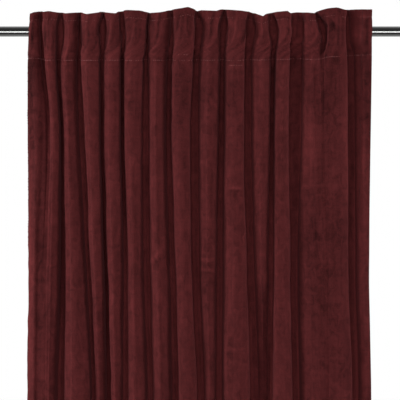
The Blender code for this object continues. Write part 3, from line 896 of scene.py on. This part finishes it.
def loop_path():
    """The middle line of a strap in (y, z): up a flange, round the back of the rod and up the other."""
    radius = ROD_RADIUS + CLEARANCE + LOOP_THICKNESS / 2
    flange = SEAT + LOOP_THICKNESS / 2
    path = [(flange, -LOOP_FLANGE_END), (flange, -(LOOP_FLANGE_END + radius) / 2)]
    for share in (0, 0.5, 1):
        angle = share * math.pi / 2
        bent_back, bent_down = LOOP_BEND * (1 - math.cos(angle)), LOOP_BEND * (1 - math.sin(angle))
        path.append((flange + bent_back, -radius - bent_down))
    arc = [math.pi * (step / LOOP_ARC_STEPS - 0.5) for step in range(LOOP_ARC_STEPS + 1)]
    path += [(radius * math.cos(angle), radius * math.sin(angle)) for angle in arc]
    path += [(y, -z) for y, z in path[4::-1]]
    return np.array(path)


def make_loop(number, valley):
    """A woven strap at the bottom of a valley."""
    path = loop_path()
    forward = np.gradient(path, axis=0)
    forward /= np.linalg.norm(forward, axis=1, keepdims=True)
    outward = np.stack([forward[:, 1], -forward[:, 0]], axis=-1)
    middle = valley.x[ROD_LEVEL]
    points = []
    for (y, z), (out_y, out_z) in zip(path, outward):
        for across, thick in LOOP_OUTLINE:
            rise = thick * LOOP_THICKNESS / 2
            points.append((middle + across * LOOP_WIDTH / 2, y + out_y * rise, z + out_z * rise))
    faces = skin(0, len(path), len(LOOP_OUTLINE))
    made = make_object(f"tape_loop_{number:02d}", points, faces, [TAPE], smooth_under=50)
    run = np.repeat(along(path), len(LOOP_OUTLINE))
    across = np.array([point[0] for point in points]) - middle
    add_flat_map(made, across, run)
    return made


def make_loop_stitches():
    """The bars of thread across both ends of every strap."""
    points, faces = [], []
    back = SEAT + LOOP_THICKNESS
    backward = np.array([0.0, 1.0, 0.0])
    for valley in VALLEYS:
        middle = valley.x[ROD_LEVEL]
        for sign in (-1, 1):
            for bar in range(LOOP_BARS):
                z = sign * (LOOP_FLANGE_END - LOOP_BAR_INSET - LOOP_BAR_PITCH * bar)
                path = [(middle + share * LOOP_BAR_HALF, back + rise, z) for share, rise in LOOP_BAR_POINTS]
                add_tube(points, faces, path, LOOP_BAR_THREAD, backward)
    return make_object("loop_stitches", points, faces, [TAPE_THREAD])


ROD_SIDES = 96
ROD_CHAMFER = 0.8
ROD_RING_EVERY = 100


def make_rod():
    """The steel rod, as a row of rings: its ends have a small chamfer."""
    rings = [(-ROD_HALF_LENGTH, ROD_RADIUS - ROD_CHAMFER), (-ROD_HALF_LENGTH + ROD_CHAMFER, ROD_RADIUS)]
    inner = range(ROD_RING_EVERY - ROD_HALF_LENGTH, ROD_HALF_LENGTH, ROD_RING_EVERY)
    rings += [(x, ROD_RADIUS) for x in inner]
    rings += [(-x, radius) for x, radius in rings[1::-1]]
    points = []
    for x, radius in rings:
        for side in range(ROD_SIDES):
            angle = 2 * math.pi * side / ROD_SIDES
            points.append((x, radius * math.cos(angle), radius * math.sin(angle)))
    faces = skin(0, len(rings), ROD_SIDES)
    return make_object("polished_rod", points, faces, [STEEL], smooth_under=35)


def register(piece, slot, *nodes):
    """Says which body a piece rides on and the solids that it takes the place of; the slot is not used."""
    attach(piece, "root")
    if nodes:
        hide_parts(*nodes)


cloth = make_cloth()
register(cloth, "velvet", "curtain_cloth")
tape = make_tape()
register(tape, "tape", "heading_tape")
seams = make_seams()
for piece in seams:
    register(piece, "velvet")
loops = []
for number, valley in enumerate(VALLEYS, start=1):
    loops.append(make_loop(number, valley))
    register(loops[-1], "tape", f"hanging_loop_{number:02d}")
loop_stitches = make_loop_stitches()
register(loop_stitches, "tape")
rod = make_rod()
register(rod, "steel", "rod")


# The studio: a pale floor, a white surround, soft lights, and the camera at the photograph's place
CAMERA_AWAY = 2.4
CAMERA_HEIGHT = -0.336
LENS = 108.3
FLOOR_HEIGHT = -2.375
FLOOR_REACH = 8000  # in millimetres, unlike the rest of the studio

floor_corners = [(x * FLOOR_REACH, y * FLOOR_REACH, 0) for x, y in ((-1, -1), (1, -1), (1, 1), (-1, 1))]
floor = make_object("studio_floor", floor_corners, [[0, 1, 2, 3]], [])
floor.location.z = FLOOR_HEIGHT
pale = Finish("pale_floor", 0.8)
pale.set(Base_Color=(0.82, 0.82, 0.81, 1))
floor.data.materials.append(pale.material)
floor.visible_glossy = False  # the rod mirrors the surround instead
floor.visible_diffuse = False

# The light that the surround gives, from straight in front (0) through the sides (0.5) to behind (1)
SURROUND = ((0.0, 0.04), (0.25, 0.04), (0.45, 0.12), (0.55, 0.30), (1.0, 0.26))


def surround():
    """A surround that looks plain white, and gives more light from behind than from in front."""
    world = bpy.data.worlds.new("surround")
    bpy.context.scene.world = world
    world.use_nodes = True
    tree = world.node_tree
    tree.nodes.clear()
    out = tree.nodes.new("ShaderNodeOutputWorld")
    mix = tree.nodes.new("ShaderNodeMixShader")
    path = tree.nodes.new("ShaderNodeLightPath")
    seen = tree.nodes.new("ShaderNodeBackground")
    cast = tree.nodes.new("ShaderNodeBackground")
    place = tree.nodes.new("ShaderNodeTexCoord")
    split = tree.nodes.new("ShaderNodeSeparateXYZ")
    backwards = tree.nodes.new("ShaderNodeMapRange")
    ramp = tree.nodes.new("ShaderNodeValToRGB")
    backwards.inputs["From Min"].default_value = -1
    ramp.color_ramp.elements.remove(ramp.color_ramp.elements[0])
    for number, (position, level) in enumerate(SURROUND):
        if number:
            stop = ramp.color_ramp.elements.new(position)
        else:
            stop = ramp.color_ramp.elements[0]
            stop.position = position
        stop.color = (level, level, level, 1)
    seen.inputs["Color"].default_value = (1, 1, 1, 1)
    tree.links.new(place.outputs["Generated"], split.inputs["Vector"])
    tree.links.new(split.outputs["Y"], backwards.inputs["Value"])
    tree.links.new(backwards.outputs["Result"], ramp.inputs["Fac"])
    tree.links.new(ramp.outputs["Color"], cast.inputs["Color"])
    tree.links.new(path.outputs["Is Camera Ray"], mix.inputs["Fac"])
    tree.links.new(cast.outputs["Background"], mix.inputs[1])
    tree.links.new(seen.outputs["Background"], mix.inputs[2])
    tree.links.new(mix.outputs["Shader"], out.inputs["Surface"])


def softbox(name, place, aim, width, height, power):
    """A large soft light that isn't in the picture itself."""
    data = bpy.data.lights.new(name, "AREA")
    data.shape = "RECTANGLE"
    data.size, data.size_y = width, height
    data.energy = power
    light = bpy.data.objects.new(name, data)
    light.location = place
    light.rotation_euler = (Vector(aim) - Vector(place)).to_track_quat("-Z", "Y").to_euler()
    light.visible_camera = False
    bpy.context.collection.objects.link(light)
    return light


surround()
boxes = [
    softbox("softbox_front", (0, -2.8, -0.2), (0, 0, -0.4), 1.5, 2.4, 64),
    softbox("softbox_left", (-2.0, -1.5, -0.2), (0, 0, -0.4), 0.9, 2.4, 25),
    softbox("softbox_far_left", (-1.6, -0.6, -0.2), (0, 0, -0.4), 0.4, 2.4, 38),
    softbox("softbox_right", (2.0, -1.5, -0.2), (0, 0, -0.4), 0.9, 2.4, 6),
    softbox("softbox_far_right", (1.6, -0.6, -0.2), (0, 0, -0.4), 0.4, 2.4, 27),
]
rod_box = softbox("softbox_rod", (0, -2.6, -0.80), (0, 0, 0), 3.0, 0.8, 21)

floor_light = bpy.data.objects.new("light_floor", bpy.data.lights.new("light_floor", "SUN"))
floor_light.data.energy = 2.6
floor_light.data.angle = 1.5
bpy.context.collection.objects.link(floor_light)

# The steel mirrors one low softbox of its own and none of the large ones, and only the floor is lit by
# the light that keeps it pale
for thing, state, lights in ((rod, "EXCLUDE", boxes), (rod, "INCLUDE", [rod_box]),
                             (floor, "INCLUDE", [floor_light])):
    linked = bpy.data.collections.new(f"{thing.name}_{state.lower()}d")
    linked.objects.link(thing)
    linked.collection_objects[0].light_linking.link_state = state
    for light in lights:
        light.light_linking.receiver_collection = linked

camera_data = bpy.data.cameras.new("camera")
camera_data.lens = LENS
camera = bpy.data.objects.new("camera", camera_data)
camera.location = (0, -CAMERA_AWAY, CAMERA_HEIGHT)
camera.rotation_euler = (math.pi / 2, 0, 0)
bpy.context.collection.objects.link(camera)
bpy.context.scene.camera = camera
bpy.context.scene.view_settings.view_transform = "Standard"
